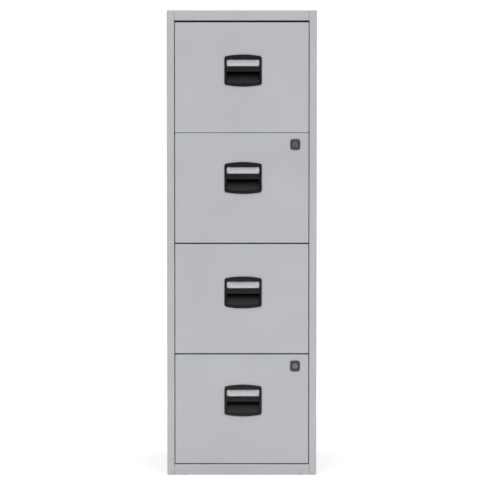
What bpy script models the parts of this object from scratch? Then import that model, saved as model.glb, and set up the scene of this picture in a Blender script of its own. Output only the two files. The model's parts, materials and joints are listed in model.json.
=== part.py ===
"""A four-drawer steel filing cabinet for A4 suspension files, at rest with its drawers shut and unlocked.

The frame is in metres, with +Z up and -Y to the front. Its origin is on the floor, under the middle of the
cabinet. Each drawer is modelled in a frame of its own, whose origin is the middle of the drawer front's top
edge: x runs to the right, y into the cabinet and z up, so that what lies lower on a drawer has a negative z.
"""

import math

import bmesh
import bpy
from mathutils import Matrix, Vector

# Overall size
WIDTH = 0.413
HEIGHT = 1.282
DEPTH = 0.400  # over the handles
HANDLE_PROUD = 0.005
FOOT_PROUD = 0.002

# Sheet metal
SHEET = 0.0008
CHANNEL_SHEET = 0.0015
OVERLAP = SHEET * 0.4  # how far pieces of one solid run into each other before they are joined
SEAM = 0.0003  # gap between pieces that touch
BEND = 0.0018  # outer radius of a small bend
EDGE_BEND = 0.005  # outer radius of the carcass's front edges
BEND_STEPS = 2
EDGE_STEPS = 4

# Front frame, and the gaps round the drawer fronts from the top one down
STILE = 0.0204
TOP_RAIL = 0.0272
BOTTOM_RAIL = 0.0294
RAIL_RETURN = 0.016
SIDE_GAP = 0.002
FRONT_GAPS = (0.0055, 0.0014, 0.0035, 0.0034, 0.0026)
DRAWERS = len(FRONT_GAPS) - 1

# Levelling feet
FOOT_INSET_X = 0.045
FOOT_INSET_FRONT = 0.018
FOOT_INSET_REAR = 0.020
FOOT_FLANGE = 0.032
FOOT_HOLE_RADIUS = 0.0042
FOOT_PAD_RADIUS = 0.012
FOOT_COLLAR_RADIUS = 0.007
FOOT_COLLAR_HEIGHT = 0.004
FOOT_STEM_RADIUS = 0.0038
FOOT_STEM_TOP = 0.0222

# Drawer front and box
PAN_DEPTH = 0.020
PAN_LIP = 0.012
BOX_HALF_WIDTH = 0.1725
BOX_REAR = 0.380
BOX_FLOOR_LIFT = 0.008  # above the front's lower edge
FILE_RAIL_DROP = 0.050  # the file rails' top below the front's top edge
FILE_RAIL_STEP = 0.0052
FILE_RAIL_LIP = 0.008

# Telescopic runners
RUNNER_DROP = 0.150
RUNNER_FRONT = 0.023
RUNNER_LENGTH = 0.350
MIDDLE_LENGTH = 0.340
RUNNER_SHEET = 0.0012
RUNNER_BEND = 0.002
# web x, flange tip x and half height of each nested member, on the right
OUTER_MEMBER = (0.1853, 0.1760, 0.0225)
MIDDLE_MEMBER = (0.1814, 0.1748, 0.0180)
INNER_MEMBER = (0.1728, 0.1785, 0.0135)

# Uprights that the runners are fixed to
UPRIGHT_FACE = 0.1856
UPRIGHT_WIDTH = 0.030
UPRIGHT_FRONTS = {"front": 0.050, "rear": 0.325}
GUIDE_DROPS = (0.110, 0.270)  # the lock bar guides below the top of each pair's upper drawer
GUIDE_OUTER_X = 0.196
GUIDE_SHEET = 0.002
GUIDE_LEAD = 0.004  # how far a guide reaches in front of the bar

# Handle
HANDLE_HALF_WIDTH = 0.0515
HANDLE_HALF_HEIGHT = 0.0440  # on the centre line
HANDLE_CROWN = 0.0053  # rise of the top and bottom arcs
HANDLE_CORNER = 0.005
HANDLE_FLANGE = 0.0029
HANDLE_FACE_EDGE = 0.0016
HANDLE_X = 0.0035  # the handles stand this far right of the centre line
HANDLE_DROPS = (0.1323, 0.1238, 0.1338, 0.1275)  # centres below the fronts' top edges, in drawer order
CUP_HALF_WIDTH = 0.047
CUP_DEPTH = 0.0185
CUP_WALL = 0.002
CUP_TOP = 0.012
CUP_BEND = -0.009  # height that the finger ramp's two tangents meet at
CUP_SHOULDER = 0.005  # height that the ramp runs out at in the cup's rear wall
CUP_STEPS = 8
CUP_SOFTENING = 0.003
GRIP_HALF_WIDTH = 0.0455
GRIP_BACK = 0.0033
WINDOW_HALF_WIDTH = 0.045
WINDOW_TOP = 0.0298
WINDOW_BOTTOM = 0.0118
GRIP_BOTTOM = -0.0028
RECESS_BOTTOM = -0.035
CUP_FLOOR = RECESS_BOTTOM - 0.003
WINDOW_DEPTH = 0.0040
WINDOW_CORNER = 0.002
SHELL_TOP = WINDOW_TOP + 0.0015  # top of the moulding behind the window
CARD_PLAY = 0.0004
CARD_THICK = 0.0005

# Locks: drawer 2 locks drawers 1 and 2, drawer 4 locks drawers 3 and 4
LOCK_X = 0.1470
LOCK_DROP = 0.0316
LOCK_PLATE = (0.027, 0.0296)
LOCK_PLATE_PROUD = 0.0026
LOCK_PLATE_CORNER = 0.0045
LOCK_PLATE_EDGE = 0.0010
BARREL_PROUD = 0.0021
KEYWAY = (0.0018, 0.0084, 0.007)  # width, height, depth
LOCK_BODY_RADIUS = 0.0095
LOCK_CORE_RADIUS = 0.0070
LOCK_BORE_RADIUS = 0.0073
LOCK_BODY_DEPTH = 0.018
CAM_RADIUS = 0.0108
CAM_FRONT = 0.0195
CAM_THICK = 0.002
PIN_CRANK = 0.008
PIN_RADIUS = 0.0025
PIN_END = 0.027
CAM_START = math.radians(-45)  # the pin swings from 45 degrees below the axis to 45 above
BAR_TRAVEL = 2 * PIN_CRANK * math.sin(-CAM_START)
BAR_X = 0.1874
BAR_THICK = 0.0015
BAR_FRONT = 0.023
BAR_WIDTH = 0.016
LUG_INNER_X = 0.176
CLEAT_OUTER_X = 0.181
CLEAT_TOP = 0.062
CLEAT_HEIGHT = 0.012
CLEAT_FRONT = 0.039
LUG_FRONT = 0.035
LUG_THICK = 0.002
LUG_HEIGHT = 0.012
LUG_GAP = 0.001  # between a lug and the cleat over it, unlocked
BAR_OVERHANG = 0.012  # bar beyond its lugs
BAR_PLAY = 0.0004  # round the bar in its guides
PIN_PLAY = 0.0005  # round the pin in its slot
ARM_HALF_HEIGHT = 0.008
ARM_END = -0.0025

CLEAR_OF = 0.010  # how far a cutting shape reaches past what it cuts

FRONT_Y = HANDLE_PROUD - DEPTH / 2
BACK_Y = DEPTH / 2
HALF_WIDTH = WIDTH / 2
OPENING_HALF_WIDTH = HALF_WIDTH - STILE
FRONT_HALF_WIDTH = OPENING_HALF_WIDTH - SIDE_GAP
FRONT_HEIGHT = (HEIGHT - TOP_RAIL - BOTTOM_RAIL - sum(FRONT_GAPS)) / DRAWERS
CARCASS_TOP = HEIGHT - SHEET - SEAM


def drawer_top(number):
    """Height of the top edge of this drawer's front, counting drawers from 1 at the top."""
    return HEIGHT - TOP_RAIL - sum(FRONT_GAPS[:number]) - (number - 1) * FRONT_HEIGHT


def has_lock(number):
    return number % 2 == 0


# ---------------------------------------------------------------- materials


def material(name, colour, roughness, metallic):
    made = bpy.data.materials.new(name)
    made.use_nodes = True
    shader = made.node_tree.nodes["Principled BSDF"]
    shader.inputs["Base Color"].default_value = (*colour, 1)
    shader.inputs["Roughness"].default_value = roughness
    shader.inputs["Metallic"].default_value = metallic
    return made


# ---------------------------------------------------------------- shapes


def arc(centre, radius, start, end, steps):
    """Points of an arc in a plane, from angle start to angle end."""
    angles = [start + (end - start) * i / steps for i in range(steps + 1)]
    return [Vector((centre[0] + radius * math.cos(a), centre[1] + radius * math.sin(a))) for a in angles]


def folded_sheet(path, radii, thickness):
    """Outline of a bent sheet seen on edge. path is one of its faces, with the metal on the path's left side,
    and radii holds that face's bend radius at each inner point of the path."""
    path = [Vector(p) for p in path]
    outer, inner = [path[0]], []

    def left_of(direction):
        return Vector((-direction.y, direction.x))

    inner.append(path[0] + left_of((path[1] - path[0]).normalized()) * thickness)
    for before, corner, after, radius in zip(path, path[1:], path[2:], radii):
        come, go = (corner - before).normalized(), (after - corner).normalized()
        turn = math.atan2(come.cross(go), come.dot(go))
        side = math.copysign(1, turn)
        start = corner - come * radius * math.tan(abs(turn) / 2)
        centre = start + left_of(come) * side * radius
        first = start - centre
        steps = EDGE_STEPS if radius == EDGE_BEND else BEND_STEPS
        for i in range(steps + 1):
            spoke = Matrix.Rotation(turn * i / steps, 2) @ first
            outer.append(centre + spoke)
            inner.append(centre + spoke * (radius - side * thickness) / radius)
    outer.append(path[-1])
    inner.append(path[-1] + left_of((path[-1] - path[-2]).normalized()) * thickness)
    return outer + inner[::-1]


def prism(outline, axis, low, high):
    """A closed solid: an outline drawn across an axis, and drawn out along it. The outline's two coordinates
    are the other two axes in X, Y, Z order."""
    across = {"X": (1, 2, 0), "Y": (0, 2, 1), "Z": (0, 1, 2)}[axis]
    solid = bmesh.new()
    loops = []
    for level in (low, high):
        loop = []
        for u, v in outline:
            point = [0, 0, 0]
            point[across[0]], point[across[1]], point[across[2]] = u, v, level
            loop.append(solid.verts.new(point))
        loops.append(loop)
        solid.faces.new(loop)
    count = len(outline)
    for i in range(count):
        j = (i + 1) % count
        solid.faces.new((loops[0][i], loops[0][j], loops[1][j], loops[1][i]))
    bmesh.ops.recalc_face_normals(solid, faces=solid.faces)
    return solid


def box(low, high):
    return prism(
        [(low[0], low[1]), (high[0], low[1]), (high[0], high[1]), (low[0], high[1])], "Z", low[2], high[2]
    )


def cylinder(radius, front, rear, centre=(0, 0), steps=32):
    """A round bar along Y, from front to rear, about the point centre = (x, z)."""
    return prism(arc(centre, radius, 0, 2 * math.pi, steps)[:-1], "Y", front, rear)


def turned(profile, steps=16):
    """A solid of revolution about Z from (radius, height) points that start and end on the axis."""
    solid = bmesh.new()
    points = [solid.verts.new((r, 0, z)) for r, z in profile]
    edges = [solid.edges.new(pair) for pair in zip(points, points[1:])]
    bmesh.ops.spin(
        solid,
        geom=points + edges,
        cent=(0, 0, 0),
        axis=(0, 0, 1),
        angle=2 * math.pi,
        steps=steps,
        use_merge=True,
    )
    bmesh.ops.remove_doubles(solid, verts=solid.verts, dist=1e-6)
    bmesh.ops.recalc_face_normals(solid, faces=solid.faces)
    return solid


def round_edges(solid, wanted, radius, steps):
    """Rounds the edges for which wanted(end, other_end) is true."""
    edges = [e for e in solid.edges if wanted(e.verts[0].co, e.verts[1].co)]
    bmesh.ops.bevel(
        solid, geom=edges, offset=radius, segments=steps, profile=0.5, affect="EDGES", clamp_overlap=True
    )
    return solid


def along(axis):
    """A test for edges that run along one axis, 0 to 2."""
    others = [i for i in range(3) if i != axis]
    return lambda a, b: all(abs(a[i] - b[i]) < 1e-7 for i in others)


def at_level(axis, level):
    """A test for edges that lie at one level of an axis."""
    return lambda a, b: abs(a[axis] - level) < 1e-7 and abs(b[axis] - level) < 1e-7


def as_object(name, solid, finish=None):
    mesh = bpy.data.meshes.new(name)
    solid.to_mesh(mesh)
    solid.free()
    if finish:
        mesh.materials.append(finish)
    made = bpy.data.objects.new(name, mesh)
    bpy.context.scene.collection.objects.link(made)
    return made


def combine(target, solid, operation):
    """Joins a solid to the target object, or cuts it away, with an exact Boolean."""
    tool = as_object("tool", solid)
    modifier = target.modifiers.new(operation.title(), "BOOLEAN")
    modifier.operation = operation
    modifier.object = tool
    graph = bpy.context.evaluated_depsgraph_get()
    old, target.data = target.data, bpy.data.meshes.new_from_object(target.evaluated_get(graph))
    target.modifiers.clear()
    bpy.data.meshes.remove(old)
    bpy.data.objects.remove(tool)


def add(target, solid):
    combine(target, solid, "UNION")


def cut(target, solid):
    combine(target, solid, "DIFFERENCE")


def finished(made):
    """Shades the bends smooth, and gives the mesh the name of its object."""
    made.data.name = made.name
    made.data.shade_smooth()
    made.data.set_sharp_from_angle(angle=math.radians(35))
    return made


def copy_of(made, name):
    """Another object that shares the mesh."""
    twin = bpy.data.objects.new(name, made.data)
    bpy.context.scene.collection.objects.link(twin)
    return twin


def frame_at(name, location, parent=None):
    """An empty that carries the pieces which move together."""
    empty = bpy.data.objects.new(name, None)
    empty.location = location
    empty.parent = parent
    bpy.context.scene.collection.objects.link(empty)
    return empty


# ---------------------------------------------------------------- carcass


def side_panel(name, side, finish):
    """Side sheet with the front stile and a rear flange folded on it. side is 1 right, -1 left."""
    path = [
        (OPENING_HALF_WIDTH, FRONT_Y + RAIL_RETURN),
        (OPENING_HALF_WIDTH, FRONT_Y),
        (HALF_WIDTH, FRONT_Y),
        (HALF_WIDTH, BACK_Y),
        (HALF_WIDTH - RAIL_RETURN, BACK_Y),
    ]
    outline = [(side * x, y) for x, y in folded_sheet(path, (BEND, EDGE_BEND, BEND), SHEET)]
    return finished(as_object(name, prism(outline, "Z", FOOT_PROUD, CARCASS_TOP), finish))


def top_panel(finish):
    """Flat top with the front rail folded down between the stiles."""
    sheet = box((-HALF_WIDTH, FRONT_Y, HEIGHT - SHEET), (HALF_WIDTH, BACK_Y, HEIGHT))
    round_edges(sheet, lambda a, b: along(2)(a, b) and a.y < 0, EDGE_BEND, EDGE_STEPS)
    round_edges(sheet, lambda a, b: at_level(2, HEIGHT)(a, b), SHEET * 0.6, 2)
    top = as_object("top_panel", sheet, finish)
    rail_bottom = HEIGHT - TOP_RAIL
    path = [
        (FRONT_Y, HEIGHT - SHEET / 2),
        (FRONT_Y, rail_bottom),
        (FRONT_Y + RAIL_RETURN, rail_bottom),
    ]
    reach = OPENING_HALF_WIDTH - SEAM
    add(top, prism(folded_sheet(path, (BEND,), SHEET), "X", -reach, reach))
    return finished(top)


def base_panel(finish):
    """Base sheet, front and rear rails with the flanges that hold the feet, and wings beside the stiles."""
    rear_y = BACK_Y - 2 * (SHEET + SEAM)
    path = [
        (FRONT_Y + FOOT_FLANGE, FOOT_PROUD),
        (FRONT_Y, FOOT_PROUD),
        (FRONT_Y, BOTTOM_RAIL),
        (rear_y, BOTTOM_RAIL),
        (rear_y, FOOT_PROUD),
        (rear_y - FOOT_FLANGE, FOOT_PROUD),
    ]
    outline = folded_sheet([(y, z) for y, z in reversed(path)], (BEND,) * 4, SHEET)
    reach = OPENING_HALF_WIDTH - SEAM
    base = as_object("base_panel", prism(outline, "X", -reach, reach), finish)
    wing_end = HALF_WIDTH - SHEET - SEAM
    wing_front = FRONT_Y + RAIL_RETURN + SHEET
    for side in (-1, 1):
        ends = sorted((side * (reach - OVERLAP), side * wing_end))
        add(base, box((ends[0], wing_front, BOTTOM_RAIL - SHEET), (ends[1], rear_y - BEND, BOTTOM_RAIL)))
    for x, y in foot_places():
        low, high = FOOT_PROUD - CLEAR_OF, FOOT_PROUD + CLEAR_OF
        hole = turned([(0, low), (FOOT_HOLE_RADIUS, low), (FOOT_HOLE_RADIUS, high), (0, high)])
        bmesh.ops.translate(hole, verts=hole.verts, vec=(x, y, 0))
        cut(base, hole)
    return finished(base)


def back_panel(finish):
    """Back sheet, inside the side panels' rear flanges."""
    reach = HALF_WIDTH - SHEET - SEAM
    rear_y = BACK_Y - SHEET - SEAM
    sheet = box((-reach, rear_y - SHEET, FOOT_PROUD), (reach, rear_y, CARCASS_TOP))
    return finished(as_object("back_panel", sheet, finish))


def foot_places():
    return [
        (side * (HALF_WIDTH - FOOT_INSET_X), y)
        for y in (FRONT_Y + FOOT_INSET_FRONT, BACK_Y - FOOT_INSET_REAR)
        for side in (-1, 1)
    ]


def feet(finish):
    """Four plastic levelling feet: a pad below the flange, a collar above it and a stem."""
    chamfer = 0.0006
    flange_top = FOOT_PROUD + SHEET + SEAM
    collar_top = flange_top + FOOT_COLLAR_HEIGHT
    profile = [
        (0, 0),
        (FOOT_PAD_RADIUS - chamfer, 0),
        (FOOT_PAD_RADIUS, chamfer),
        (FOOT_PAD_RADIUS, FOOT_PROUD - SEAM),
        (FOOT_STEM_RADIUS, FOOT_PROUD - SEAM),
        (FOOT_STEM_RADIUS, flange_top),
        (FOOT_COLLAR_RADIUS, flange_top),
        (FOOT_COLLAR_RADIUS, collar_top),
        (FOOT_STEM_RADIUS, collar_top),
        (FOOT_STEM_RADIUS, FOOT_STEM_TOP - chamfer),
        (FOOT_STEM_RADIUS - chamfer, FOOT_STEM_TOP),
        (0, FOOT_STEM_TOP),
    ]
    first = finished(as_object("foot", turned(profile), finish))
    for corner, (x, y) in zip(("front_left", "front_right", "rear_left", "rear_right"), foot_places()):
        foot = copy_of(first, f"foot_{corner}")
        foot.location = (x, y, 0)
    bpy.data.objects.remove(first)


def upright(name, side, front, finish, guide_heights=()):
    """Channel that the outer runners are fixed to, with guides for the lock bars where heights are given."""
    outer_x = HALF_WIDTH - SHEET - SEAM
    front_y, rear_y = FRONT_Y + front, FRONT_Y + front + UPRIGHT_WIDTH
    path = [(outer_x, front_y), (UPRIGHT_FACE, front_y), (UPRIGHT_FACE, rear_y), (outer_x, rear_y)]
    outline = folded_sheet([(x, y) for x, y in reversed(path)], (BEND,) * 2, CHANNEL_SHEET)
    outline = [(side * x, y) for x, y in outline]
    bottom, top = BOTTOM_RAIL + SEAM, CARCASS_TOP - SEAM
    made = as_object(name, prism(outline, "Z", bottom, top), finish)
    bar_front, bar_rear = FRONT_Y + BAR_FRONT, FRONT_Y + BAR_FRONT + BAR_WIDTH
    for height in guide_heights:
        guide_low = (UPRIGHT_FACE + BAR_PLAY / 2, bar_front - GUIDE_LEAD, height)
        guide_high = (GUIDE_OUTER_X, front_y + CHANNEL_SHEET / 2, height + GUIDE_SHEET)
        add(made, box(guide_low, guide_high))
        slot_low = (BAR_X - BAR_PLAY, bar_front - BAR_PLAY, height - GUIDE_SHEET)
        slot_high = (BAR_X + BAR_THICK + BAR_PLAY, bar_rear + BAR_PLAY, height + 2 * GUIDE_SHEET)
        cut(made, box(slot_low, slot_high))
    return finished(made)


def uprights(finish):
    guide_heights = [
        drawer_top(number) - drop for number in range(1, DRAWERS, 2) for drop in GUIDE_DROPS
    ]
    for side, side_name in ((-1, "left"), (1, "right")):
        for place, front in UPRIGHT_FRONTS.items():
            guided = guide_heights if (side, place) == (1, "front") else ()
            upright(f"{place}_{side_name}_upright", side, front, finish, guided)


# ---------------------------------------------------------------- drawers


def drawer_front(number, finish):
    """Folded steel pan, with the openings for the handle and, on a locking drawer, for the lock."""
    low, high = (-FRONT_HALF_WIDTH, 0, -FRONT_HEIGHT), (FRONT_HALF_WIDTH, PAN_DEPTH, 0)
    pan = box(low, high)
    round_edges(pan, lambda a, b: along(1)(a, b), BEND, BEND_STEPS)
    round_edges(pan, at_level(1, 0), BEND, BEND_STEPS)
    made = as_object(f"drawer_{number}_front", pan, finish)
    inside_low = (low[0] + SHEET, SHEET, low[2] + SHEET)
    inside_high = (high[0] - SHEET, PAN_DEPTH - SHEET, high[2] - SHEET)
    cut(made, box(inside_low, inside_high))
    rear_low = (low[0] + PAN_LIP, PAN_DEPTH / 2, low[2] + PAN_LIP)
    cut(made, box(rear_low, (high[0] - PAN_LIP, PAN_DEPTH * 1.5, high[2] - PAN_LIP)))
    centre = -HANDLE_DROPS[number - 1]
    hole = box(
        (HANDLE_X - CUP_HALF_WIDTH - SEAM, -CLEAR_OF, centre + CUP_FLOOR - SEAM),
        (HANDLE_X + CUP_HALF_WIDTH + SEAM, PAN_DEPTH / 2, centre + SHELL_TOP + SEAM),
    )
    cut(made, hole)
    if has_lock(number):
        cut(made, cylinder(LOCK_BODY_RADIUS + SEAM, -CLEAR_OF, PAN_DEPTH / 2, (LOCK_X, -LOCK_DROP)))
    return finished(made)


def drawer_box(finish):
    """Welded tray: floor, sides with file rails along their tops, end walls, and the lock cleat."""
    top, floor = -FILE_RAIL_DROP, BOX_FLOOR_LIFT - FRONT_HEIGHT
    step = top - FILE_RAIL_LIP
    rail_x = BOX_HALF_WIDTH - FILE_RAIL_STEP
    right = [(BOX_HALF_WIDTH, floor), (BOX_HALF_WIDTH, step), (rail_x, step), (rail_x, top)]
    path = [(-x, z) for x, z in reversed(right)] + right
    front, rear = PAN_DEPTH + SEAM, BOX_REAR
    outline = folded_sheet(path, (BEND,) * (len(path) - 2), SHEET)
    made = as_object("box", prism(outline, "Y", front, rear), finish)
    reach = SHEET - OVERLAP
    wall_x = BOX_HALF_WIDTH - reach
    for near, far in ((front, front + SHEET), (rear - SHEET, rear)):
        wall = box((-wall_x, near, floor + reach), (wall_x, far, step - reach))
        add(made, round_edges(wall, along(1), BEND - reach, BEND_STEPS))
    cleat_low = (BOX_HALF_WIDTH - SHEET / 2, CLEAT_FRONT, -CLEAT_TOP - CLEAT_HEIGHT)
    add(made, box(cleat_low, (CLEAT_OUTER_X, CLEAT_FRONT + LUG_THICK, -CLEAT_TOP)))
    return finished(made)


def ramp(front, bottom, rear, rise=0.0):
    """The finger ramp's curve on edge, a parabola that climbs from its front lip into the cup's rear wall."""
    lip = Vector((front, bottom))
    bend = Vector((rear, CUP_BEND - rise))
    shoulder = Vector((rear, CUP_SHOULDER - rise))
    points = []
    for i in range(CUP_STEPS + 1):
        t = i / CUP_STEPS
        points.append(lip * (1 - t) ** 2 + bend * 2 * t * (1 - t) + shoulder * t**2)
    return points


def handle_face():
    """Outline of the handle's face: straight sides, and a shallow arc across the top and the bottom."""
    radius = (HANDLE_HALF_WIDTH**2 + HANDLE_CROWN**2) / (2 * HANDLE_CROWN)
    half_angle = math.asin(HANDLE_HALF_WIDTH / radius)
    centre = HANDLE_HALF_HEIGHT - radius
    steps = 12
    upper = arc((0, centre), radius, math.pi / 2 - half_angle, math.pi / 2 + half_angle, steps)
    return upper + [Vector((-p.x, -p.y)) for p in upper]


def handle(finish):
    """Moulded handle: face flange, label pocket, grip bead, and a finger cup that reaches up behind it."""
    face = prism(handle_face(), "Y", -HANDLE_FLANGE, -SEAM)
    corner = HANDLE_HALF_WIDTH - 1e-4
    round_edges(face, lambda a, b: along(1)(a, b) and abs(a.x) > corner, HANDLE_CORNER, 4)
    round_edges(face, at_level(1, -HANDLE_FLANGE), HANDLE_FACE_EDGE, 3)
    made = as_object("handle", face, finish)

    shell = ramp(-SEAM * 2, CUP_FLOOR, CUP_DEPTH, CUP_WALL)
    shell += [(CUP_DEPTH, CUP_TOP), (GRIP_BACK, CUP_TOP), (GRIP_BACK, SHELL_TOP), (-SEAM * 2, SHELL_TOP)]
    add(made, prism(shell, "X", -CUP_HALF_WIDTH, CUP_HALF_WIDTH))

    bead_low = (-GRIP_HALF_WIDTH, -HANDLE_PROUD, GRIP_BOTTOM)
    bead = box(bead_low, (GRIP_HALF_WIDTH, -HANDLE_FLANGE / 3, WINDOW_BOTTOM - OVERLAP))
    round_edges(bead, at_level(1, -HANDLE_PROUD), BEND, 3)
    add(made, bead)

    rear, ceiling, soften = CUP_DEPTH - CUP_WALL, CUP_TOP - CUP_WALL, CUP_SOFTENING
    under_grip = GRIP_BOTTOM + soften
    recess = [(-CLEAR_OF, RECESS_BOTTOM)] + ramp(OVERLAP - HANDLE_FLANGE, RECESS_BOTTOM, rear)
    recess += arc((rear - soften, ceiling - soften), soften, 0, math.pi / 2, 3)
    recess += [(GRIP_BACK, ceiling), (GRIP_BACK, under_grip)]
    recess += arc((GRIP_BACK - soften, under_grip), soften, 0, -math.pi / 2, 3)[1:]
    recess += [(-CLEAR_OF, GRIP_BOTTOM)]
    cut(made, prism(recess, "X", -CUP_HALF_WIDTH + CUP_WALL, CUP_HALF_WIDTH - CUP_WALL))

    pocket_low = (-WINDOW_HALF_WIDTH, -CLEAR_OF, WINDOW_BOTTOM)
    pocket = box(pocket_low, (WINDOW_HALF_WIDTH, WINDOW_DEPTH - HANDLE_FLANGE, WINDOW_TOP))
    round_edges(pocket, along(1), WINDOW_CORNER, 3)
    cut(made, pocket)
    return finished(made)


def label_card(finish):
    rear = WINDOW_DEPTH - SEAM - HANDLE_FLANGE
    low = (CARD_PLAY - WINDOW_HALF_WIDTH, rear - CARD_THICK, WINDOW_BOTTOM + CARD_PLAY)
    card = box(low, (WINDOW_HALF_WIDTH - CARD_PLAY, rear, WINDOW_TOP - CARD_PLAY))
    round_edges(card, along(1), WINDOW_CORNER - CARD_PLAY / 2, 3)
    return finished(as_object("card", card, finish))


# ---------------------------------------------------------------- runners


def runner(name, side, web_x, tip_x, half_height, length, finish):
    """One member of a telescopic runner: a channel with its web at web_x and its flanges' tips at tip_x."""
    path = [(tip_x, -half_height), (web_x, -half_height), (web_x, half_height), (tip_x, half_height)]
    if tip_x > web_x:
        path.reverse()
    outline = [(side * x, z) for x, z in folded_sheet(path, (RUNNER_BEND,) * 2, RUNNER_SHEET)]
    return finished(as_object(name, prism(outline, "Y", 0, length), finish))


def runner_set(side, finish):
    """The nested members for one side: the outer on the upright, the middle, the inner on the drawer."""
    return {
        "outer": runner("outer", side, *OUTER_MEMBER, RUNNER_LENGTH, finish),
        "middle": runner("middle", side, *MIDDLE_MEMBER, MIDDLE_LENGTH, finish),
        "inner": runner("inner", side, *INNER_MEMBER, RUNNER_LENGTH, finish),
    }


# ---------------------------------------------------------------- locks


def lock_housing(finish):
    """Square plate on the drawer's face and the sleeve behind it, about the lock's axis."""
    half_x, half_z = LOCK_PLATE[0] / 2, LOCK_PLATE[1] / 2
    plate = box((-half_x, -LOCK_PLATE_PROUD, -half_z), (half_x, -SEAM, half_z))
    round_edges(plate, along(1), LOCK_PLATE_CORNER, 4)
    round_edges(plate, at_level(1, -LOCK_PLATE_PROUD), LOCK_PLATE_EDGE, 2)
    made = as_object("housing", plate, finish)
    add(made, cylinder(LOCK_BODY_RADIUS, -SEAM * 2, LOCK_BODY_DEPTH))
    cut(made, cylinder(LOCK_BORE_RADIUS, -CLEAR_OF, LOCK_BODY_DEPTH + CLEAR_OF))
    return finished(made)


def lock_barrel(finish):
    """Key barrel with its cam plate and the pin that drives the lock bar."""
    made = as_object("barrel", cylinder(LOCK_CORE_RADIUS, -BARREL_PROUD, CAM_FRONT + CAM_THICK / 2), finish)
    add(made, cylinder(CAM_RADIUS, CAM_FRONT, CAM_FRONT + CAM_THICK))
    pin = (PIN_CRANK * math.cos(CAM_START), PIN_CRANK * math.sin(CAM_START))
    add(made, cylinder(PIN_RADIUS, CAM_FRONT + CAM_THICK / 2, PIN_END, pin, steps=16))
    half_x, half_z = KEYWAY[0] / 2, KEYWAY[1] / 2
    cut(made, box((-half_x, -CLEAR_OF, -half_z), (half_x, KEYWAY[2], half_z)))
    return finished(made)


def lock_bar(finish):
    """Bar that the pin lifts, about the lock's axis: a strip, a lug for each drawer and a slotted arm."""
    pitch = FRONT_HEIGHT + FRONT_GAPS[1]
    lug_top = LOCK_DROP - CLEAT_TOP - CLEAT_HEIGHT - LUG_GAP
    strip_x = BAR_X - LOCK_X
    strip_middle = strip_x + BAR_THICK / 2
    strip_low = (strip_x, BAR_FRONT, lug_top - LUG_HEIGHT - BAR_OVERHANG)
    strip_high = (strip_x + BAR_THICK, BAR_FRONT + BAR_WIDTH, pitch + lug_top + BAR_OVERHANG)
    made = as_object("bar", box(strip_low, strip_high), finish)
    for rise in (0, pitch):
        lug_low = (LUG_INNER_X - LOCK_X, LUG_FRONT, rise + lug_top - LUG_HEIGHT)
        add(made, box(lug_low, (strip_middle, LUG_FRONT + LUG_THICK, rise + lug_top)))
    rest = PIN_CRANK * math.sin(CAM_START)
    arm_low = (ARM_END, BAR_FRONT, rest - ARM_HALF_HEIGHT)
    add(made, box(arm_low, (strip_middle, BAR_FRONT + LUG_THICK, rest + ARM_HALF_HEIGHT)))
    slot_half = PIN_RADIUS + PIN_PLAY
    slot_low = (PIN_CRANK * math.cos(CAM_START) - slot_half, BAR_FRONT - CLEAR_OF, rest - slot_half)
    slot_high = (PIN_CRANK + slot_half, BAR_FRONT + CLEAR_OF, rest + slot_half)
    cut(made, box(slot_low, slot_high))
    return finished(made)


# ---------------------------------------------------------------- assembly


def build():
    for old in list(bpy.data.objects):
        bpy.data.objects.remove(old)
    paint = material("grey_paint", (0.48, 0.49, 0.51), 0.45, 0.0)
    black = material("black_plastic", (0.018, 0.018, 0.020), 0.40, 0.0)
    dark = material("dark_grey_plastic", (0.060, 0.062, 0.068), 0.45, 0.0)
    zinc = material("zinc_plated_steel", (0.62, 0.63, 0.65), 0.32, 1.0)
    nickel = material("nickel_plate", (0.35, 0.35, 0.36), 0.30, 1.0)
    white_card = material("white_card", (0.62, 0.62, 0.63), 0.70, 0.0)

    side_panel("left_side_panel", -1, paint)
    side_panel("right_side_panel", 1, paint)
    top_panel(paint)
    base_panel(paint)
    back_panel(paint)
    uprights(zinc)
    feet(black)

    tray, grip, card = drawer_box(paint), handle(black), label_card(white_card)
    sides = (("left", runner_set(-1, zinc)), ("right", runner_set(1, zinc)))
    housing, barrel, bar = lock_housing(dark), lock_barrel(nickel), lock_bar(zinc)

    for number in range(1, DRAWERS + 1):
        name = f"drawer_{number}"
        place = Vector((0, FRONT_Y, drawer_top(number)))
        carrier = frame_at(f"{name}_slide_frame", place)
        middle = frame_at(f"{name}_middle_frame", place)
        drawer_front(number, paint).parent = carrier
        copy_of(tray, f"{name}_box").parent = carrier
        for piece, label in ((grip, "handle"), (card, "label_card")):
            twin = copy_of(piece, f"{name}_{label}")
            twin.parent, twin.location = carrier, (HANDLE_X, 0, -HANDLE_DROPS[number - 1])
        for side, members in sides:
            for member, holder in (("outer", None), ("middle", middle), ("inner", carrier)):
                twin = copy_of(members[member], f"{name}_{side}_{member}_runner")
                twin.parent = holder
                twin.location = (0, RUNNER_FRONT, -RUNNER_DROP)
                if holder is None:
                    twin.location += place
        if has_lock(number):
            pair = "upper" if number == 2 else "lower"
            axis = Vector((LOCK_X, 0, -LOCK_DROP))
            turning = frame_at(f"{pair}_lock_frame", axis, carrier)
            sliding = frame_at(f"{pair}_lock_bar_frame", place + axis)
            fixed = copy_of(housing, f"{pair}_lock_housing")
            fixed.parent, fixed.location = carrier, axis
            copy_of(barrel, f"{pair}_lock_barrel").parent = turning
            copy_of(bar, f"{pair}_lock_bar").parent = sliding

    patterns = [tray, grip, card, housing, barrel, bar]
    patterns += [piece for _, members in sides for piece in members.values()]
    for pattern in patterns:
        bpy.data.objects.remove(pattern)


build()
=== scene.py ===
"""Looks of a four-drawer steel filing cabinet: procedural finishes on the CAD's sheet metal, detailed
handles, labels and lock plates, the runners' balls and cages, and the stage."""

import json
import math

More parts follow.
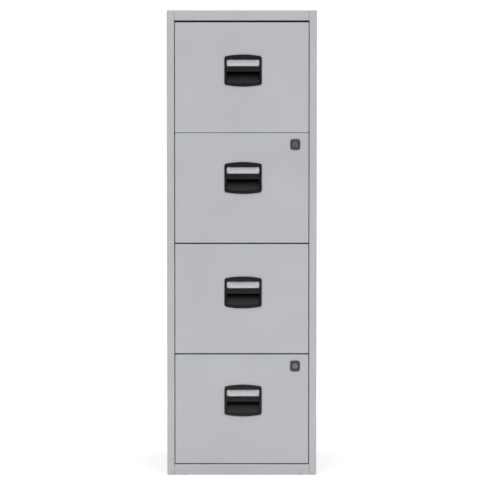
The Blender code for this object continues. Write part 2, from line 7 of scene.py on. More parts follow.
import bmesh
import bpy
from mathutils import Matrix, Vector


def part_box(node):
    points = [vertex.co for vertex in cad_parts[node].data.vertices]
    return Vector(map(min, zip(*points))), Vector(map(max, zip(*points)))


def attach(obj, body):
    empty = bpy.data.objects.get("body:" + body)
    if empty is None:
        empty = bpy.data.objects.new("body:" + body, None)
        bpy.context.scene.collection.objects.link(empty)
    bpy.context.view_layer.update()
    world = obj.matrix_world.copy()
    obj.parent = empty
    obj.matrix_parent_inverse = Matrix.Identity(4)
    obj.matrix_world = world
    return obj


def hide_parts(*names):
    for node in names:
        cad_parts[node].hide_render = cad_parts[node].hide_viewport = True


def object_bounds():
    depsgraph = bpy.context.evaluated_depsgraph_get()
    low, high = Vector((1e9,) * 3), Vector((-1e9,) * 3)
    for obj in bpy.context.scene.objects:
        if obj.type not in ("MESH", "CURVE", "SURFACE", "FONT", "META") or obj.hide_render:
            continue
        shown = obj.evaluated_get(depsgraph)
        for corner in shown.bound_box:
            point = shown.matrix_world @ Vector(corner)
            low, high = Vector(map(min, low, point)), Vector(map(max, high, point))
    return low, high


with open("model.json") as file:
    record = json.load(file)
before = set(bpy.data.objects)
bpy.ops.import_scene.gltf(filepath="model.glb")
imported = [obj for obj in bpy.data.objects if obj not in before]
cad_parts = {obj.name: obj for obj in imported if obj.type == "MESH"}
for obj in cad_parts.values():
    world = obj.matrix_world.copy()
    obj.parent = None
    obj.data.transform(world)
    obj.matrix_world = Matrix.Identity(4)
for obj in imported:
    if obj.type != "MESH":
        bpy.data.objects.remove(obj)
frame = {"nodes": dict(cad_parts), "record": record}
CAD_BOX = [list(corner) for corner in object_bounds()]
NODES = frame["nodes"]

DRAWERS = (1, 2, 3, 4)
LOCKS = {2: "upper", 4: "lower"}
MM = 0.001

# Handle, in millimetres about its centre: x to the right, z up, y into the drawer front
FACE_HALF_WIDTH = 51.5
FACE_HALF_HEIGHT = 44.0
FACE_CROWN = 5.3
FACE_CORNER = 5.0
FACE_Y = -2.9
REAR_Y = -0.3
RIM_RADIUS = 1.7
SHELL_THICKNESS = 0.9
INSIDE = 45.6  # half the width of the window, grip and recess
SIDE_BLEND = 1.6  # width over which their sides rise to the face
WINDOW_TOP = 29.8
WINDOW_BOTTOM = 11.8
WINDOW_CORNER = 2.4
WINDOW_LIP = 0.7  # between the face's flat and the window's upper edge
CARD_Y = 1.1
GRIP_Y = -5.0
GRIP_GAP = 0.5  # from the window's lower edge to the grip
GRIP_BOTTOM = -2.8
GRIP_BACK = 3.3
RECESS_BACK = 16.4
RECESS_TOP = 9.6
RECESS_BOTTOM = -34.6
RAMP_BEND = (-9.0, 13.5)
RAMP_TOP = 5.0
FACE_BELOW = 9.1  # height of the plain face under the recess, at the rims

# Label and its window, in millimetres about their centre unless told otherwise
LABEL_HALF_WIDTH = 37.2
LABEL_PLAY = 0.6
LABEL_Y = 0.14  # at its upper edge
LABEL_CURL = 1.7
LABEL_THICK = 0.12
LABEL_PAINTED_SHADOW = (-0.004, 0.0084)  # heights between which a painted shadow darkens the paper towards its upper edge, in metres
FILM_SIDE_PLAY = 0.9
FILM_END_PLAY = 0.25
FILM_CORNER = 2.0
FILM_FRONT = -2.35
FILM_REAR = -2.10
FILM_EDGE = 0.05

# Lock plate and the sleeve behind it, in millimetres about the barrel's axis
PLATE_HALF = (13.5, 14.8)
PLATE_SQUARENESS = 5.0
PLATE_Y = -2.6
PLATE_EDGE = 1.1
PLATE_FLAT = 2.1  # from the plate's outline to where its rings begin to turn into circles
DISH_RADIUS = 10.6
DISH_DEPTH = 0.8
COLLAR_RADIUS = 9.4
COLLAR_INSIDE = 8.0
BORE_RADIUS = 7.25
SLEEVE_RADIUS = 9.5
SLEEVE_REAR = 18.0

# Telescopic runners, in metres. Each race is two rows of balls in one cage between two nested members
RUNNER_SHEET = 0.0012
BALL_RADIUS = 0.00155
CAGE_BALLS = 9  # in each row
CAGE_LENGTH = 0.140
CAGE_INSET = 0.012  # from the end of the middle member
CAGE_SHEET = 0.0004
CAGE_LIP = 0.0002  # between a cage's lips and the tips of a member's flanges
REAR_CAGE_CLEAR = 0.0013  # from the middle member's web to the rear cage's
FRONT_CAGE_CLEAR = 0.0008  # from the inner member's tips to the front cage's web
POCKET = BALL_RADIUS + 0.0001  # half of a ball's pocket

GRAIN_SIZE = 0.00045  # of moulded plastic, in metres

# Camera, in metres: it looks at the plane of the drawer fronts, near the middle of the CAD box
VIEW_DISTANCE = 3.678
VIEW_TILT = math.radians(1.5)
AIM_X = -0.005
AIM_ABOVE_MIDDLE = 0.010
LENS = 100
SENSOR = 36

# Stage, in metres
LIGHT_TARGET = (0, -0.2, 1.35)
LIGHT_SIZE = (1.6, 1.8)
FLOOR_HALF_WIDTH = 4.0
FLOOR_SQUARES = 24
FLOOR_GLOW = 0.22

SAME_PLACE = 1e-6  # metres within which two points are one


# ---------------------------------------------------------------- node trees


def new_material(name, **constants):
    made = bpy.data.materials.new(name)
    made.use_nodes = True
    shader = made.node_tree.nodes["Principled BSDF"]
    for socket, value in constants.items():
        shader.inputs[socket.replace("_", " ")].default_value = value
    return made, made.node_tree, shader


def put(tree, kind, settings=(), **inputs):
    """Adds a node. Inputs are values or other nodes' sockets, by name with _ for a space."""
    node = tree.nodes.new(kind)
    for name, value in dict(settings).items():
        setattr(node, name, value)
    for name, value in inputs.items():
        socket = node.inputs[name.replace("_", " ")]
        if isinstance(value, bpy.types.NodeSocket):
            tree.links.new(value, socket)
        else:
            socket.default_value = value
    return node


def link(tree, source, shader, name):
    tree.links.new(source, shader.inputs[name])


def object_coords(tree):
    return put(tree, "ShaderNodeTexCoord").outputs["Object"]


def stretched(tree, coords, scale):
    """Coordinates multiplied by scale along x, y and z. Noise on them streaks where scale is small."""
    return put(tree, "ShaderNodeMapping", Vector=coords, Scale=scale).outputs["Vector"]


def noise(tree, coords, scale, detail=2.0, roughness=0.5):
    """Noise with about scale patches per metre."""
    node = put(tree, "ShaderNodeTexNoise", Vector=coords, Scale=scale, Detail=detail, Roughness=roughness)
    return node.outputs["Fac"]


def remap(tree, value, low, high, to_low, to_high):
    """Maps low..high to to_low..to_high, clamped."""
    node = put(tree, "ShaderNodeMapRange")
    tree.links.new(value, node.inputs["Value"])
    for name, number in zip(("From Min", "From Max", "To Min", "To Max"), (low, high, to_low, to_high)):
        node.inputs[name].default_value = number
    return node.outputs["Result"]


def blend_colours(tree, factor, dark, light):
    node = put(tree, "ShaderNodeMix", {"data_type": "RGBA"})
    tree.links.new(factor, node.inputs["Factor"])
    for index, colour in ((6, dark), (7, light)):
        if isinstance(colour, bpy.types.NodeSocket):
            tree.links.new(colour, node.inputs[index])
        else:
            node.inputs[index].default_value = (*colour, 1)
    return node.outputs[2]


def tint(colour, factor):
    return [c * factor for c in colour]


def add_values(tree, first, second, weight):
    """first + weight * second"""
    node = put(tree, "ShaderNodeMath", {"operation": "MULTIPLY_ADD"})
    tree.links.new(second, node.inputs[0])
    node.inputs[1].default_value = weight
    tree.links.new(first, node.inputs[2])
    return node.outputs[0]


def bump(tree, shader, height, distance, strength=1.0):
    node = put(tree, "ShaderNodeBump", Height=height, Distance=distance, Strength=strength)
    link(tree, node.outputs["Normal"], shader, "Normal")


def edge_mask(tree, radius, sharpest):
    """0 on flat faces, rising to 1 on edges, from how far a rounded normal leans from the real one."""
    rounded = put(tree, "ShaderNodeBevel", {"samples": 4}, Radius=radius).outputs["Normal"]
    true = put(tree, "ShaderNodeNewGeometry").outputs["Normal"]
    dot = put(tree, "ShaderNodeVectorMath", {"operation": "DOT_PRODUCT"})
    tree.links.new(rounded, dot.inputs[0])
    tree.links.new(true, dot.inputs[1])
    return remap(tree, dot.outputs["Value"], 1.0, sharpest, 0.0, 1.0)


# ---------------------------------------------------------------- finishes


def powder_coat(name, colour):
    """Light grey powder coat: fine orange peel, faint clouding, and thinner, paler paint on the edges."""
    made, tree, shader = new_material(name, Metallic=0.0, IOR=1.5)
    coords = object_coords(tree)
    clouds = noise(tree, coords, 7, 4)
    grain = noise(tree, coords, 1500, 2, 0.7)
    peel = noise(tree, coords, 420, 3, 0.55)
    tone = add_values(tree, remap(tree, clouds, 0.3, 0.7, 0.0, 0.75), grain, 0.25)
    base = blend_colours(tree, tone, tint(colour, 0.965), tint(colour, 1.03))
    thin = blend_colours(tree, edge_mask(tree, 0.0012, 0.75), base, tint(colour, 1.16))
    link(tree, thin, shader, "Base Color")
    rough = remap(tree, add_values(tree, clouds, grain, 0.6), 0.5, 1.1, 0.40, 0.52)
    link(tree, rough, shader, "Roughness")
    bump(tree, shader, add_values(tree, peel, grain, 0.25), 0.00006, 0.55)
    return made


def zinc_plate():
    """Bright zinc on steel: cloudy spangle, faint drawing lines along y and dull handling marks."""
    made, tree, shader = new_material("zinc_plated_steel_look", Metallic=1.0)
    coords = object_coords(tree)
    spangle = put(tree, "ShaderNodeTexVoronoi", Vector=coords, Scale=240.0).outputs["Color"]
    grey = put(tree, "ShaderNodeRGBToBW", Color=spangle).outputs[0]
    lines = noise(tree, stretched(tree, coords, (900, 12, 900)), 1.0, 3)
    smudge = noise(tree, coords, 38, 4)
    tone = add_values(tree, add_values(tree, grey, lines, 0.5), smudge, 0.6)
    tone = remap(tree, tone, 0.3, 1.8, 0, 1)
    link(tree, blend_colours(tree, tone, (0.40, 0.412, 0.435), (0.51, 0.52, 0.535)), shader, "Base Color")
    rough = remap(tree, add_values(tree, smudge, grey, 0.3), 0.3, 1.0, 0.30, 0.42)
    link(tree, rough, shader, "Roughness")
    bump(tree, shader, lines, 0.00001, 0.25)
    return made


def moulded_plastic(name, colour, low_rough, high_rough, ior):
    """Moulded plastic with a fine spark-eroded grain, rubbed a little paler along its edges."""
    made, tree, shader = new_material(name, Metallic=0.0, IOR=ior)
    coords = object_coords(tree)
    grain = noise(tree, coords, 1 / GRAIN_SIZE, 3, 0.65)
    patches = noise(tree, coords, 60, 3)
    base = blend_colours(tree, remap(tree, grain, 0.3, 0.7, 0, 1), tint(colour, 0.85), tint(colour, 1.2))
    rubbed = blend_colours(tree, edge_mask(tree, 0.0006, 0.6), base, [c * 1.5 + 0.004 for c in colour])
    link(tree, rubbed, shader, "Base Color")
    rough = remap(tree, add_values(tree, patches, grain, 0.3), 0.4, 0.9, low_rough, high_rough)
    link(tree, rough, shader, "Roughness")
    bump(tree, shader, grain, 0.00003, 0.5)
    return made


def nickel_plate():
    """Dull nickel on the key barrels, mottled and finely scratched."""
    made, tree, shader = new_material("nickel_plate_look", Metallic=1.0)
    coords = object_coords(tree)
    scratches = noise(tree, stretched(tree, coords, (2600, 200, 300)), 1.0, 3)
    mottle = noise(tree, coords, 420, 3)
    tone = add_values(tree, mottle, scratches, 0.5)
    base = blend_colours(tree, remap(tree, tone, 0.5, 1.0, 0, 1), (0.20, 0.20, 0.21), (0.31, 0.31, 0.32))
    link(tree, base, shader, "Base Color")
    link(tree, remap(tree, tone, 0.5, 1.0, 0.34, 0.52), shader, "Roughness")
    bump(tree, shader, scratches, 0.00002, 0.4)
    return made


def paper(name, colour, painted_shadow_factor=1.0):
    """Card with soft fibres. With a factor below 1, a painted shadow darkens it to that factor times its
    colour along its upper edge.
    """
    made, tree, shader = new_material(name, Roughness=0.85, IOR=1.4)
    coords = object_coords(tree)
    fibres = noise(tree, stretched(tree, coords, (900, 900, 2600)), 1.0, 4)
    flecks = noise(tree, coords, 1800, 2)
    tone = add_values(tree, remap(tree, fibres, 0.3, 0.7, 0, 0.7), flecks, 0.4)
    base = blend_colours(tree, tone, tint(colour, 0.97), tint(colour, 1.03))
    # Painted shadow: the paper darkens towards its upper edge, standing in for the shade of the window's
    # rim.
    if painted_shadow_factor < 1:
        height = put(tree, "ShaderNodeSeparateXYZ", Vector=coords).outputs["Z"]
        upper = remap(tree, height, *LABEL_PAINTED_SHADOW, 0, 1)
        base = blend_colours(tree, upper, base, tint(colour, painted_shadow_factor))
    link(tree, base, shader, "Base Color")
    bump(tree, shader, fibres, 0.00002, 0.4)
    return made


def clear_film():
    """Thin clear plastic: almost all of it is see-through, and a few rub marks catch the light."""
    constants = {"Base_Color": (0.95, 0.97, 1, 1), "Alpha": 0.10, "IOR": 1.45}
    made, tree, shader = new_material("clear_window_look", **constants)
    coords = object_coords(tree)
    rubs = noise(tree, stretched(tree, coords, (40, 900, 1400)), 1.0, 3)
    link(tree, remap(tree, rubs, 0.35, 0.75, 0.10, 0.20), shader, "Roughness")
    bump(tree, shader, rubs, 0.000005, 0.2)
    return made


PAINT = powder_coat("grey_paint_look", (0.448, 0.458, 0.477))
ZINC = zinc_plate()
BLACK = moulded_plastic("black_plastic_look", (0.0045, 0.0047, 0.0056), 0.34, 0.50, ior=1.365)
DARK = moulded_plastic("dark_grey_plastic_look", (0.038, 0.040, 0.046), 0.32, 0.46, ior=1.46)
NICKEL = nickel_plate()
CARD = paper("white_card_look", (0.51, 0.515, 0.53))
# The label paper carries a painted shadow along its upper edge.
INSERT = paper("label_paper_look", (0.50, 0.505, 0.52), painted_shadow_factor=0.60)
CLEAR = clear_film()
SLOT_FINISH = {
    "grey_paint": PAINT,
    "zinc_plated_steel": ZINC,
    "black_plastic": BLACK,
    "dark_grey_plastic": DARK,
    "nickel_plate": NICKEL,
    "white_card": CARD,
}


def finish_cad_nodes():
    for subpart in frame["record"]["subparts"]:
        node = NODES[subpart["node"]]
        node.data.materials.clear()
        node.data.materials.append(SLOT_FINISH[subpart["material_slot"]])


# ---------------------------------------------------------------- pieces


def as_piece(name, solid, finish, body, location=(0, 0, 0)):
    """A piece that rides on body, made of solid, a bmesh that is used up."""
    mesh = bpy.data.meshes.new(name)
    solid.to_mesh(mesh)
    solid.free()
    mesh.materials.append(finish)
    return place_mesh(name, mesh, body, location)


def place_mesh(name, mesh, body, location):
    piece = bpy.data.objects.new(name, mesh)
    bpy.context.scene.collection.objects.link(piece)
    piece.location = location
    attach(piece, body)
    return piece


def skin(rows, closed_rows=False):
    """A mesh of quads through rows of points, all of the same length."""
    solid = bmesh.new()
    grid = [[solid.verts.new(point) for point in row] for row in rows]
    for upper, lower in zip(grid, grid[1:]):
        count = len(upper)
        for j in range(count if closed_rows else count - 1):
            k = (j + 1) % count
            solid.faces.new((upper[j], upper[k], lower[k], lower[j]))
    return solid, grid


def smooth(piece, angle):
    """Shades the piece smooth over edges that turn by less than angle, in degrees."""
    piece.data.shade_smooth()
    piece.data.set_sharp_from_angle(angle=math.radians(angle))


def ease(t):
    """Rises smoothly from 0 at t = 0 to 1 at t = 1."""
    t = min(1.0, max(0.0, t))
    return t * t * (3 - 2 * t)


# ---------------------------------------------------------------- handle


def crown(x):
    """How far the top arc lies below its middle at x."""
    radius = (FACE_HALF_WIDTH**2 + FACE_CROWN**2) / (2 * FACE_CROWN)
    return radius - math.sqrt(radius**2 - x**2)


def face_top(x):
    """Height of the face's top edge at x, with its rounded corners."""
    inner = FACE_HALF_WIDTH - FACE_CORNER
    past = max(0.0, min(FACE_CORNER, abs(x) - inner))
    return FACE_HALF_HEIGHT - crown(x) - (FACE_CORNER - math.sqrt(FACE_CORNER**2 - past**2))


def stations():
    """x of the handle's cross-sections: close together round the corners and where the recess begins."""
    turns = (0, 15, 30, 45, 60, 72, 82, 90)
    corner = [FACE_HALF_WIDTH - FACE_CORNER * (1 - math.sin(math.radians(a))) for a in turns]
    wall = [INSIDE - 1.5 * SIDE_BLEND * t for t in (0, 0.08, 0.18, 0.3, 0.45, 0.6, 0.75, 0.88, 1.0)]
    middle = [wall[-1] * t for t in (0.12, 0.25, 0.38, 0.52, 0.66, 0.8, 0.92)]
    half = sorted(set(middle + wall + corner))
    return [-x for x in reversed(half)] + [0.0] + half


def inward(x):
    """0 on the rims at the sides, 1 over the window, grip and recess."""
    return ease((INSIDE - abs(x)) / SIDE_BLEND)


def rim_fall(x):
    """How far the face falls back beside its left and right edges, as a rounded rim."""
    into = max(0.0, RIM_RADIUS - (FACE_HALF_WIDTH - abs(x)))
    return RIM_RADIUS - math.sqrt(max(0.0, RIM_RADIUS**2 - into**2))


def quarter(steps):
    """Angles from 0 to a right angle."""
    return [math.pi / 2 * i / steps for i in range(steps + 1)]


def curve(start, bend, end, steps):
    """Points of a parabola from start to end, both of whose tangents point to bend."""
    points = []
    for i in range(steps + 1):
        t = i / steps
        near, far, middle = (1 - t) ** 2, t**2, 2 * t * (1 - t)
        points.append(tuple(near * a + middle * b + far * c for a, b, c in zip(start, bend, end)))
    return points


def rim_section(top, sign):
    """Rounded rim at the top edge for sign 1 and at the bottom edge for sign -1."""
    turns = quarter(5)[::sign]
    middle = top - RIM_RADIUS
    return [
        (sign * (middle + RIM_RADIUS * math.cos(a)), FACE_Y + RIM_RADIUS * (1 - math.sin(a)))
        for a in turns
    ]


def window_edges(x):
    """Heights of the label window's upper and lower edges at x, with its rounded corners."""
    past = max(0.0, abs(x) - (INSIDE - SIDE_BLEND - WINDOW_CORNER))
    shrink = WINDOW_CORNER - math.sqrt(WINDOW_CORNER**2 - min(past, WINDOW_CORNER) ** 2)
    return WINDOW_TOP - shrink, WINDOW_BOTTOM + shrink * 0.4


def pocket_section(top, bottom):
    """Label pocket, between the window's edges."""
    return [
        (top + WINDOW_LIP, FACE_Y),
        (top + 0.25, FACE_Y + 0.12),
        (top, FACE_Y + 0.4),
        (top - 0.1, CARD_Y),
        (top - 0.6, CARD_Y + 0.1),
        (bottom + 0.6, CARD_Y + 0.1),
        (bottom + 0.1, CARD_Y),
        (bottom, FACE_Y + 0.3),
    ]


def grip_section(top):
    """Bowed front of the grip, its lower edge and its back."""
    middle, half = (top + GRIP_BOTTOM) / 2, (top - GRIP_BOTTOM) / 2
    seat = FACE_Y + 0.2
    steps = 12
    points = []
    for i in range(steps + 1):
        t = math.cos(math.pi * i / steps)
        points.append((middle + half * t, seat - (seat - GRIP_Y) * (1 - t**4) ** 0.5))
    points.append((GRIP_BOTTOM, 0.6))
    points.append((GRIP_BOTTOM + 0.5, GRIP_BACK - 0.8))
    points.append((GRIP_BOTTOM + 1.6, GRIP_BACK))
    return points


def recess_section(x):
    """Recess from the back of the grip, over its rounded top and down its ramp to the face."""
    low = RECESS_BOTTOM + crown(x)
    return [
        (RECESS_TOP - 2.5, GRIP_BACK),
        (RECESS_TOP - 0.7, GRIP_BACK + 0.8),
        (RECESS_TOP, GRIP_BACK + 2.5),
        (RECESS_TOP, RECESS_BACK - 3.0),
        (RECESS_TOP - 0.9, RECESS_BACK - 0.9),
        (RECESS_TOP - 3.0, RECESS_BACK),
        *curve((RAMP_TOP, RECESS_BACK), RAMP_BEND, (low, FACE_Y + 0.5), 14),
        (low - 0.35, FACE_Y + 0.12),
        (low - 0.9, FACE_Y),
    ]


def handle_profile(x):
    """Two cross-sections at x, as (z, y) pairs from the rear of the top edge to that of the bottom edge: the
    full one with window, grip and recess, and a plain one with the rims only, in as many points."""
    top = face_top(x)
    window_top, window_bottom = window_edges(x)
    inner = pocket_section(window_top, window_bottom)
    inner += grip_section(window_bottom - GRIP_GAP) + recess_section(x)
    upper = [(top, REAR_Y)] + rim_section(top, 1)
    lower = rim_section(top, -1) + [(-top, REAR_Y)]
    start, end = WINDOW_TOP + WINDOW_LIP, -top + FACE_BELOW
    last = len(inner) - 1
    face = [(start + (end - start) * i / last, FACE_Y) for i in range(last + 1)]
    return upper + inner + lower, upper + face + lower


def handle_mesh():
    """The handle's front surface. A Solidify modifier gives it its thickness."""
    rows = []
    for x in stations():
        full, plain = handle_profile(x)
        share, fall = inward(x), rim_fall(x)
        row = []
        for (z_full, y_full), (z_plain, y_plain) in zip(full, plain):
            y_rim = min(REAR_Y, y_plain + fall)
            y = y_rim + (y_full - y_rim) * share
            z = z_plain + (z_full - z_plain) * share
            row.append(Vector((x, y, z)) * MM)
        rows.append(row)
    solid, _ = skin(rows)
    bmesh.ops.remove_doubles(solid, verts=solid.verts, dist=SAME_PLACE)
    bmesh.ops.recalc_face_normals(solid, faces=solid.faces)
    face = min(solid.faces, key=lambda f: f.calc_center_median().y)
    if face.normal.y > 0:
        bmesh.ops.reverse_faces(solid, faces=solid.faces)
    mesh = bpy.data.meshes.new("handle")
    solid.to_mesh(mesh)
    solid.free()
    mesh.materials.append(BLACK)
    return mesh


def window_film(half_x, half_z):
    """Clear film with rounded corners and a softened front edge, in millimetres about its centre."""
    steps = 5

    def ring(inset, y):
        radius = FILM_CORNER - inset
        points = []
        for quadrant in range(4):
            cx = (half_x - FILM_CORNER) * (1 if quadrant in (0, 3) else -1)
            cz = (half_z - FILM_CORNER) * (1 if quadrant < 2 else -1)
            for i in range(steps + 1):
                a = math.pi / 2 * (quadrant + i / steps)
                points.append(Vector((cx + radius * math.cos(a), y, cz + radius * math.sin(a))) * MM)
        return points

    rings = [ring(0, FILM_REAR)]
    for a in quarter(3):
        rings.append(ring(FILM_EDGE * (1 - math.cos(a)), FILM_FRONT + FILM_EDGE * (1 - math.sin(a))))
    solid, grid = skin(rings, closed_rows=True)
    solid.faces.new(grid[0])
    solid.faces.new(reversed(grid[-1]))
    bmesh.ops.recalc_face_normals(solid, faces=solid.faces)
    return solid


def curled_card(half_x, half_z):
    """Thin card whose lower edge curls forward in its slot, in millimetres about its centre."""
    steps = 10
    rows = []
    for i in range(steps + 1):
        t = 2 * i / steps - 1
        y = LABEL_Y - LABEL_CURL * ((1 - t) / 2) ** 2
        rows.append([Vector((x, y, half_z * t)) * MM for x in (-half_x, half_x)])
    for i in reversed(range(steps + 1)):
        rows.append([point + Vector((0, LABEL_THICK * MM, 0)) for point in rows[i]])
    rows.append(rows[0])
    solid, _ = skin(rows)
    bmesh.ops.remove_doubles(solid, verts=solid.verts, dist=SAME_PLACE)
    for x in (-half_x * MM, half_x * MM):
        rim = [edge for edge in solid.edges if all(abs(v.co.x - x) < SAME_PLACE for v in edge.verts)]
        bmesh.ops.contextual_create(solid, geom=rim)
    bmesh.ops.recalc_face_normals(solid, faces=solid.faces)
    return solid


def handle_pieces():
    mesh = handle_mesh()
    for number in DRAWERS:
        body = f"drawer_{number}"
        low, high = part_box(f"{body}_handle")
        centre = (low + high) / 2
        centre.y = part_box(f"{body}_front")[0].y
        grip = place_mesh(f"{body}_handle_moulding", mesh, body, centre)
        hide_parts(f"{body}_handle")
        smooth(grip, 50)
        shell = grip.modifiers.new("Shell", "SOLIDIFY")
        shell.thickness = SHELL_THICKNESS * MM
        shell.offset = -1
        middle = (WINDOW_TOP + WINDOW_BOTTOM) / 2
        at = centre + Vector((0, 0, middle * MM))
        half = (WINDOW_TOP - WINDOW_BOTTOM) / 2
        card = curled_card(LABEL_HALF_WIDTH, half - LABEL_PLAY)
        as_piece(f"{body}_label_insert", card, INSERT, body, at)
        film = window_film(INSIDE - FILM_SIDE_PLAY, half - FILM_END_PLAY)
        as_piece(f"{body}_label_window", film, CLEAR, body, at)


# ---------------------------------------------------------------- locks


def lock_plate_solid():
    """Squarish plate with rounded corners, dished round a raised collar, and the sleeve behind it."""
    count = 64
    angles = [2 * math.pi * i / count for i in range(count)]

    def square(inset, y):
        half_x, half_z = PLATE_HALF[0] - inset, PLATE_HALF[1] - inset
        power = PLATE_SQUARENESS
        points = []
        for a in angles:
            across, up = math.cos(a), math.sin(a)
            radius = (abs(across / half_x) ** power + abs(up / half_z) ** power) ** (-1 / power)
            points.append(Vector((radius * across, y, radius * up)) * MM)
        return points

    def circle(radius, y):
        return [Vector((radius * math.cos(a), y, radius * math.sin(a))) * MM for a in angles]

    rings = [square(0, REAR_Y)]
    for a in quarter(4):
        rings.append(square(PLATE_EDGE * (1 - math.cos(a)), PLATE_Y + PLATE_EDGE * (1 - math.sin(a))))
    rings += [
        square(PLATE_FLAT, PLATE_Y),
        circle(DISH_RADIUS + 0.4, PLATE_Y + 0.05),
        circle(DISH_RADIUS, PLATE_Y + 0.35),
        circle(COLLAR_RADIUS + 0.5, PLATE_Y + DISH_DEPTH),
        circle(COLLAR_RADIUS + 0.1, PLATE_Y + DISH_DEPTH - 0.05),
        circle(COLLAR_RADIUS, PLATE_Y + 0.2),
        circle(COLLAR_RADIUS - 0.3, PLATE_Y),
        circle(COLLAR_INSIDE, PLATE_Y),
        circle(COLLAR_INSIDE - 0.4, PLATE_Y + 0.15),
        circle(BORE_RADIUS, PLATE_Y + 0.5),
        circle(BORE_RADIUS, SLEEVE_REAR),
        circle(SLEEVE_RADIUS, SLEEVE_REAR),
        circle(SLEEVE_RADIUS, REAR_Y),
    ]
    solid, grid = skin(rings, closed_rows=True)
    first, last = grid[0], grid[-1]
    for i in range(count):
        k = (i + 1) % count
        solid.faces.new((last[i], last[k], first[k], first[i]))
    bmesh.ops.recalc_face_normals(solid, faces=solid.faces)
    return solid


def lock_pieces():
    for number, pair in LOCKS.items():
        low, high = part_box(f"{pair}_lock_housing")
        centre = (low + high) / 2
        centre.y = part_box(f"drawer_{number}_front")[0].y
        body = f"drawer_{number}"
        plate = as_piece(f"{pair}_lock_plate", lock_plate_solid(), DARK, body, centre)
        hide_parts(f"{pair}_lock_housing")
        smooth(plate, 40)


# ---------------------------------------------------------------- runners


def reach(node):
    """Distances of a runner member's inner and outer faces from the cabinet's middle plane."""
    low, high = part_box(node)
    return sorted((abs(low.x), abs(high.x)))


def ball_rows(x, places, heights):
    """Balls at each of the y in places, in a row at each height."""
    balls = bmesh.new()
    for z in heights:
        for y in places:
            made = bmesh.ops.create_icosphere(balls, subdivisions=2, radius=BALL_RADIUS)
            bmesh.ops.translate(balls, verts=made["verts"], vec=(x, y, z))
    return balls


def cage_sheet(across, middle_z, rise, start, places):
    """Thin channel between two nested members, as one surface with a square pocket round each ball. across
    gives x at the channel's lips, at both sides of its pockets and at its web."""
    profile = [(x, middle_z - rise) for x in across] + [(x, middle_z + rise) for x in reversed(across)]
    lengths = [start]
    for y in places:
        lengths += [y - POCKET, y + POCKET]
    lengths.append(start + CAGE_LENGTH)
    sheet = bmesh.new()
    grid = [[sheet.verts.new((x, y, z)) for x, z in profile] for y in lengths]
    pocket_columns = (1, len(profile) - 3)
    for i, (near, far) in enumerate(zip(grid, grid[1:])):
        for j in range(len(profile) - 1):
            if i % 2 == 0 or j not in pocket_columns:
                sheet.faces.new((near[j], near[j + 1], far[j + 1], far[j]))
    return sheet


def race(name, body, sign, distances, middle_z, rise, start):
    """Two rows of balls and their cage. distances are those of the cage's lips, the balls and its web."""
    lip_x, ball_x, web_x = distances
    places = [start + CAGE_LENGTH * (i + 0.5) / CAGE_BALLS for i in range(CAGE_BALLS)]
    rows = ball_rows(sign * ball_x, places, (middle_z - rise, middle_z + rise))
    balls = as_piece(f"{name}_balls", rows, ZINC, body)
    smooth(balls, 60)
    across = [sign * x for x in (lip_x, ball_x - POCKET, ball_x + POCKET, web_x)]
    sheet = cage_sheet(across, middle_z, rise, start, places)
    cage = as_piece(f"{name}_cage", sheet, ZINC, body)
    thickness = cage.modifiers.new("Thickness", "SOLIDIFY")
    thickness.thickness = CAGE_SHEET
    thickness.offset = 0


def runner_races(number, side, sign):
    """The rear race lies between the outer and middle members, the front one between middle and inner."""
    name = f"drawer_{number}_{side}"
    body = f"drawer_{number}_middle_runners"
    low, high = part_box(f"{name}_middle_runner")
    middle_z = (low.z + high.z) / 2
    middle_tip, middle_web = reach(f"{name}_middle_runner")

    outer_tip = reach(f"{name}_outer_runner")[0]
    outer_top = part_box(f"{name}_outer_runner")[1].z
    rise = (high.z + outer_top - RUNNER_SHEET) / 2 - middle_z
    distances = (outer_tip + CAGE_LIP, (outer_tip + middle_web) / 2, middle_web + REAR_CAGE_CLEAR)
    race(f"{name}_rear", body, sign, distances, middle_z, rise, high.y - CAGE_INSET - CAGE_LENGTH)

    inner_tip = reach(f"{name}_inner_runner")[1]
    inner_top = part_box(f"{name}_inner_runner")[1].z
    rise = (inner_top + high.z - RUNNER_SHEET) / 2 - middle_z
    distances = (middle_tip - CAGE_LIP, (middle_tip + inner_tip) / 2, inner_tip + FRONT_CAGE_CLEAR)
    race(f"{name}_front", body, sign, distances, middle_z, rise, low.y + CAGE_INSET)


def balls_and_cages():
    for number in DRAWERS:
        for side, sign in (("left", -1), ("right", 1)):
            runner_races(number, side, sign)


# ---------------------------------------------------------------- stage


def camera():
    low, high = (Vector(corner) for corner in CAD_BOX)
    made = bpy.data.objects.new("camera", bpy.data.cameras.new("camera"))
    made.data.lens = LENS
    made.data.sensor_width = SENSOR
    aim = Vector((AIM_X, low.y - GRIP_Y * MM, (low.z + high.z) / 2 + AIM_ABOVE_MIDDLE))
    away = Vector((0, -math.cos(VIEW_TILT), math.sin(VIEW_TILT)))
    made.location = aim + away * VIEW_DISTANCE
    made.rotation_euler = (math.pi / 2 - VIEW_TILT, 0, 0)
    bpy.context.scene.collection.objects.link(made)
    bpy.context.scene.camera = made


def softbox(name, location, power):
    light = bpy.data.lights.new(name, "AREA")
    light.shape = "RECTANGLE"
    light.size, light.size_y = LIGHT_SIZE
    light.energy = power
    made = bpy.data.objects.new(name, light)
    made.location = location
    made.rotation_euler = (Vector(LIGHT_TARGET) - made.location).to_track_quat("-Z", "Y").to_euler()
    made.visible_camera = False
    bpy.context.scene.collection.objects.link(made)


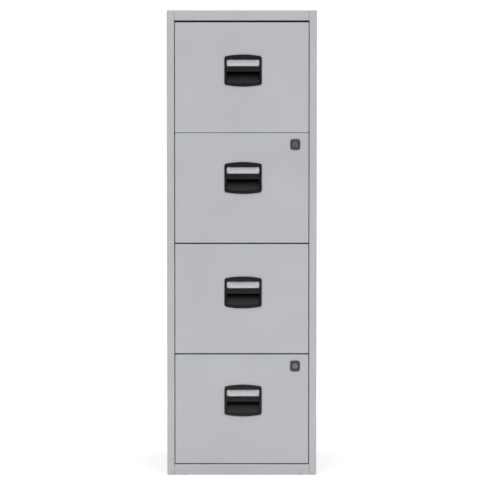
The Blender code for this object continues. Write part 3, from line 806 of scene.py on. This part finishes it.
def studio_world():
    """A bright ceiling over a dark room that is lighter behind the cabinet, and plain white wherever the
    camera sees past the floor."""
    world = bpy.data.worlds.new("studio")
    world.use_nodes = True
    tree = world.node_tree
    background = tree.nodes["Background"]
    direction = put(tree, "ShaderNodeTexCoord").outputs["Generated"]
    parts = put(tree, "ShaderNodeSeparateXYZ", Vector=direction)
    behind = remap(tree, parts.outputs["Y"], -0.1, 0.8, 0.0, 1.0)
    above = remap(tree, parts.outputs["Z"], 0.5, 0.95, 0.0, 1.0)
    walls = blend_colours(tree, behind, (0.10, 0.10, 0.103), (0.50, 0.50, 0.50))
    room = blend_colours(tree, above, walls, (1.6, 1.6, 1.6))
    seen = put(tree, "ShaderNodeLightPath").outputs["Is Camera Ray"]
    tree.links.new(blend_colours(tree, seen, room, (1.05, 1.05, 1.05)), background.inputs["Color"])
    background.inputs["Strength"].default_value = 1.0
    bpy.context.scene.world = world


def floor():
    """Pale floor with a faint glow of its own, so that shadows on it stay light."""
    solid = bmesh.new()
    bmesh.ops.create_grid(
        solid, x_segments=FLOOR_SQUARES, y_segments=FLOOR_SQUARES, size=FLOOR_HALF_WIDTH
    )
    mesh = bpy.data.meshes.new("floor")
    solid.to_mesh(mesh)
    solid.free()
    made, tree, shader = new_material(
        "floor_look", Roughness=0.7, IOR=1.3, Emission_Color=(1, 1, 1, 1), Emission_Strength=FLOOR_GLOW
    )
    grain = noise(tree, object_coords(tree), 40, 3)
    link(tree, blend_colours(tree, grain, (0.90, 0.90, 0.90), (0.93, 0.93, 0.93)), shader, "Base Color")
    mesh.materials.append(made)
    plane = bpy.data.objects.new("floor", mesh)
    bpy.context.scene.collection.objects.link(plane)


def stage():
    studio_world()
    floor()
    camera()
    softbox("front_right", (2.0, -3.0, 3.1), 51)
    softbox("front_left", (-2.1, -2.9, 3.0), 48)
    bpy.context.scene.view_settings.view_transform = "Standard"
    bpy.context.scene.view_settings.look = "None"


finish_cad_nodes()
handle_pieces()
lock_pieces()
balls_and_cages()
stage()
